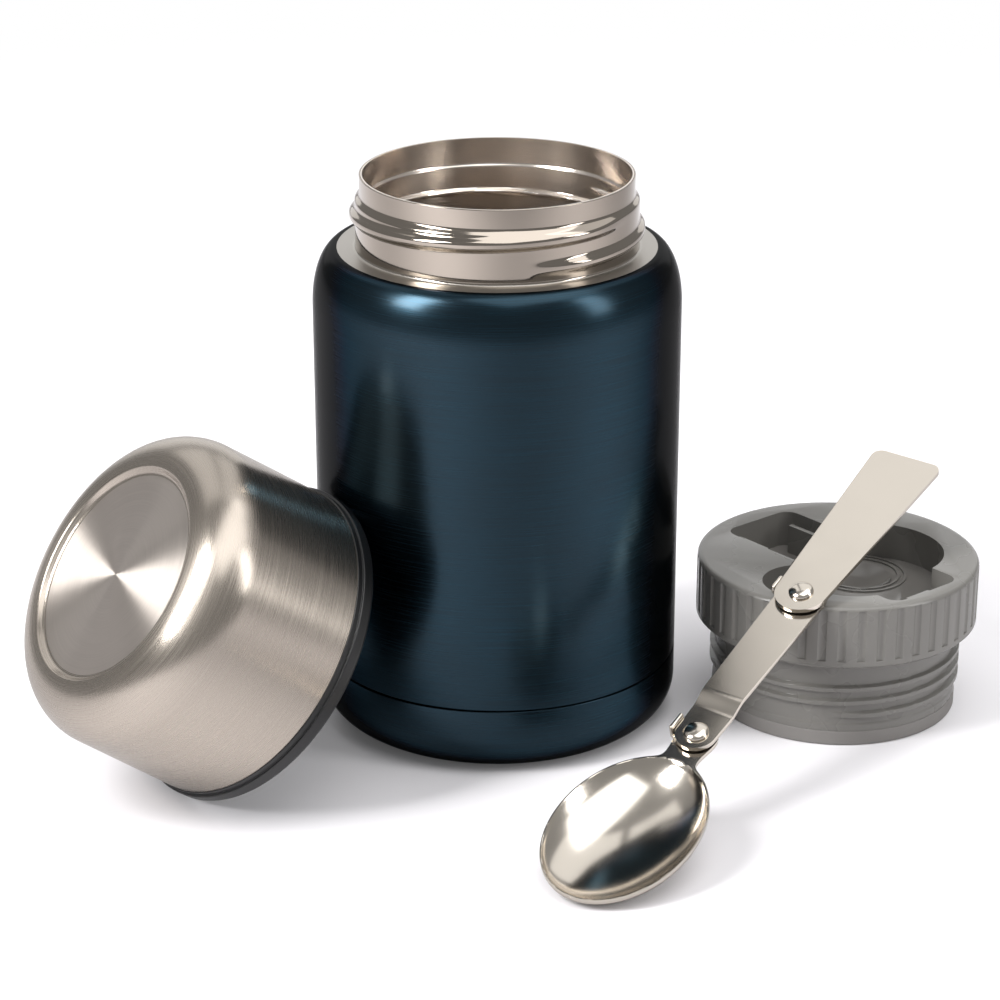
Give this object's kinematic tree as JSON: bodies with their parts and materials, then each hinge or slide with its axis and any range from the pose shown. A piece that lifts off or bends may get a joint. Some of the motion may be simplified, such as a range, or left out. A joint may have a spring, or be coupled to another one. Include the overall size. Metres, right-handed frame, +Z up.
{
  "type": "insulated food jar",
  "caption": "Vacuum insulated food jar with screw stopper, cup lid and a folding spoon that stores in the stopper.",
  "frame": {"origin": "centre of the jar's underside, on the floor the loose pieces stand on too", "axes": "+Z up along the jar's axis; -Y is the front the picture was taken from; +X is the stopper's side"},
  "size_m": [0.2611, 0.1735, 0.155],
  "materials": {
    "lacquered_steel": "translucent dark blue lacquer over horizontally brushed stainless steel; the neck and the ring inside the shoulder are bare and polished",
    "vessel_steel": "electropolished stainless steel, faint turning marks",
    "inner_steel": "plain drawn stainless steel, hidden",
    "solder": "dull solder bead, hidden",
    "getter_metal": "pressed metal ring, hidden",
    "copper_foil": "smooth copper foil, hidden",
    "lacquered_base": "the same dark blue lacquer over brushed stainless steel",
    "cup_steel": "stainless steel, brushed round the side and spun-brushed on the disc",
    "black_plastic": "black moulded polypropylene, half gloss",
    "grey_plastic": "warm grey moulded polypropylene, half gloss in the recess",
    "foam": "white foam, hidden",
    "grey_silicone": "grey silicone",
    "spoon_steel": "mirror-polished stainless steel"
  },
  "bodies": {
    "jar": {"outer_shell": "lacquered_steel", "inner_liner": "vessel_steel", "vacuum_bottom": "inner_steel", "evacuation_seal": "solder", "getter": "getter_metal", "reflector_foil": "copper_foil", "base_cover": "lacquered_base"},
    "cup": {"cup_shell": "cup_steel", "cup_liner": "black_plastic"},
    "stopper": {"stopper_cap": "grey_plastic", "stopper_plug": "grey_plastic", "stopper_insulation": "foam", "stopper_base": "grey_plastic", "stopper_gasket": "grey_silicone"},
    "spoon": {"spoon_bowl": "spoon_steel", "bowl_rivet": "spoon_steel", "bowl_washer": "spoon_steel"},
    "link": {"spoon_link": "spoon_steel", "handle_rivet": "spoon_steel", "handle_washer": "spoon_steel"},
    "handle": {"spoon_handle": "spoon_steel"}
  },
  "joints": [
    {"name": "cup_lift", "type": "slide", "parent": "jar", "child": "cup", "axis": [0, 0, 1], "range_m": [0, 0.16]},
    {"name": "stopper_lift", "type": "slide", "parent": "jar", "child": "stopper", "axis": [0, 0, 1], "range_m": [0, 0.16]},
    {"name": "spoon_lift", "type": "slide", "parent": "stopper", "child": "spoon", "axis": [0, 0, 1], "range_m": [0, 0.06]},
    {"name": "link_fold", "type": "hinge", "parent": "spoon", "child": "link", "pos_m": [0.05185, -0.07312, 0.0236], "axis": [0.1391, 0.3021, -0.9431], "range_deg": [0, 180]},
    {"name": "handle_fold", "type": "hinge", "parent": "link", "child": "handle", "pos_m": [0.08282, -0.02986, 0.04202], "axis": [0.1391, 0.3021, -0.9431], "range_deg": [0, 180]}
  ]
}
